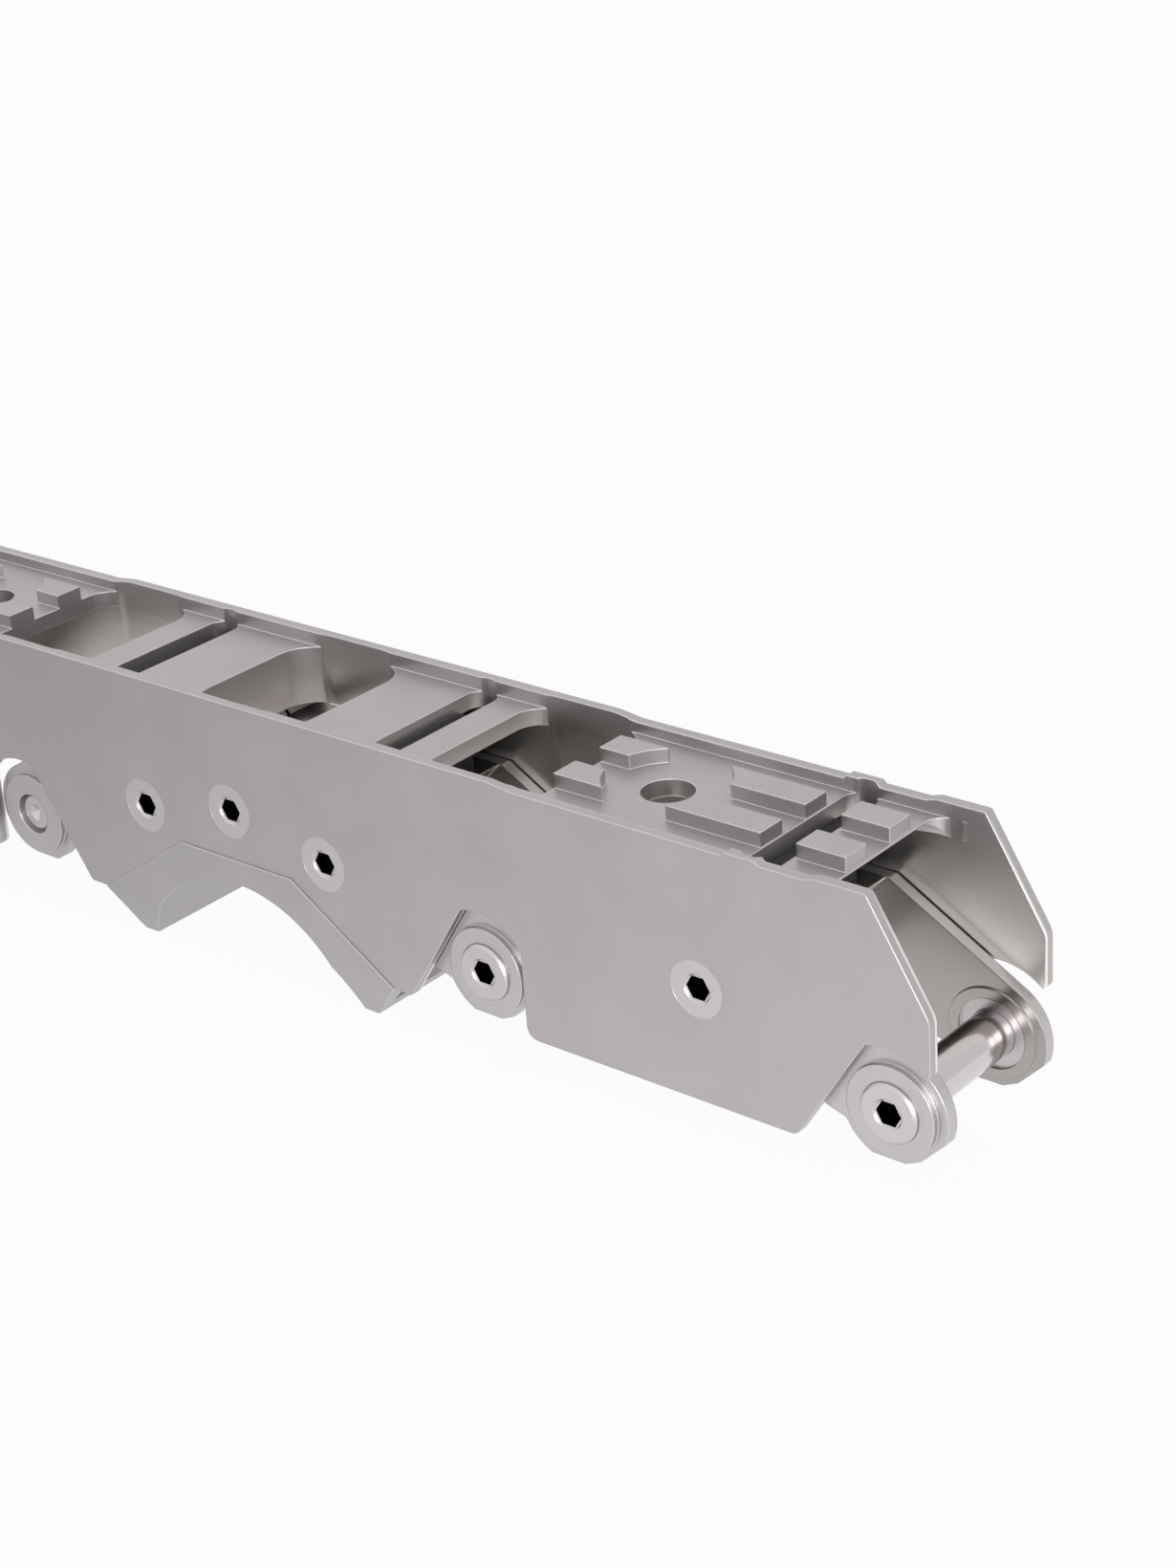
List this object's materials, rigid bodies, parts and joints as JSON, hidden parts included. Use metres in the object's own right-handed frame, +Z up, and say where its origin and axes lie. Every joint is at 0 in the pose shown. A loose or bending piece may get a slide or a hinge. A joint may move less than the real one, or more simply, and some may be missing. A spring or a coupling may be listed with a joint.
{
  "type": "inline skate frame",
  "caption": "Aluminium inline skate frame: a channel with a pocketed deck, a grind block in the middle and a sprung swing arm for every wheel axle.",
  "frame": {"origin": "on the ground under the middle of the wheelbase, where the grind block's feet stand", "axes": "+X towards the skate's front, +Y across it, +Z up towards the boot"},
  "size_m": [0.2966, 0.0348, 0.0537],
  "materials": {
    "chassis": "bead-blasted and anodised",
    "block": "bead-blasted and anodised",
    "arm": "bead-blasted and anodised",
    "steel": "nickel plated",
    "tube": "ground",
    "bush": "plain",
    "bumper": "matt"
  },
  "bodies": {
    "chassis": {"chassis": "chassis", "grind_block": "block", "block_screws": "steel", "pivot_tube_1": "tube", "pivot_tube_2": "tube", "pivot_tube_3": "tube", "pivot_tube_4": "tube", "pivot_screws_1": "steel", "pivot_screws_2": "steel", "pivot_screws_3": "steel", "pivot_screws_4": "steel", "bumper_1": "bumper", "bumper_2": "bumper", "bumper_3": "bumper", "bumper_4": "bumper"},
    "arm_1": {"arm_1": "arm", "axle_1": "steel", "bushes_1": "bush"},
    "arm_2": {"arm_2": "arm", "axle_2": "steel", "bushes_2": "bush"},
    "arm_3": {"arm_3": "arm", "axle_3": "steel", "bushes_3": "bush"},
    "arm_4": {"arm_4": "arm", "axle_4": "steel", "bushes_4": "bush"}
  },
  "joints": [
    {"name": "arm_1_swing", "type": "hinge", "parent": "chassis", "child": "arm_1", "pos_m": [0.1035, 0, 0.0282], "axis": [0, -1, 0], "range_deg": [0, 4], "stiffness_Nm_per_rad": 30, "deforming": ["bumper_1"]},
    {"name": "arm_2_swing", "type": "hinge", "parent": "chassis", "child": "arm_2", "pos_m": [0.0225, 0, 0.0282], "axis": [0, -1, 0], "range_deg": [0, 4], "stiffness_Nm_per_rad": 30, "deforming": ["bumper_2"]},
    {"name": "arm_3_swing", "type": "hinge", "parent": "chassis", "child": "arm_3", "pos_m": [-0.0225, 0, 0.0282], "axis": [0, 1, 0], "range_deg": [0, 4], "stiffness_Nm_per_rad": 30, "deforming": ["bumper_3"]},
    {"name": "arm_4_swing", "type": "hinge", "parent": "chassis", "child": "arm_4", "pos_m": [-0.1035, 0, 0.0282], "axis": [0, 1, 0], "range_deg": [0, 4], "stiffness_Nm_per_rad": 30, "deforming": ["bumper_4"]}
  ]
}
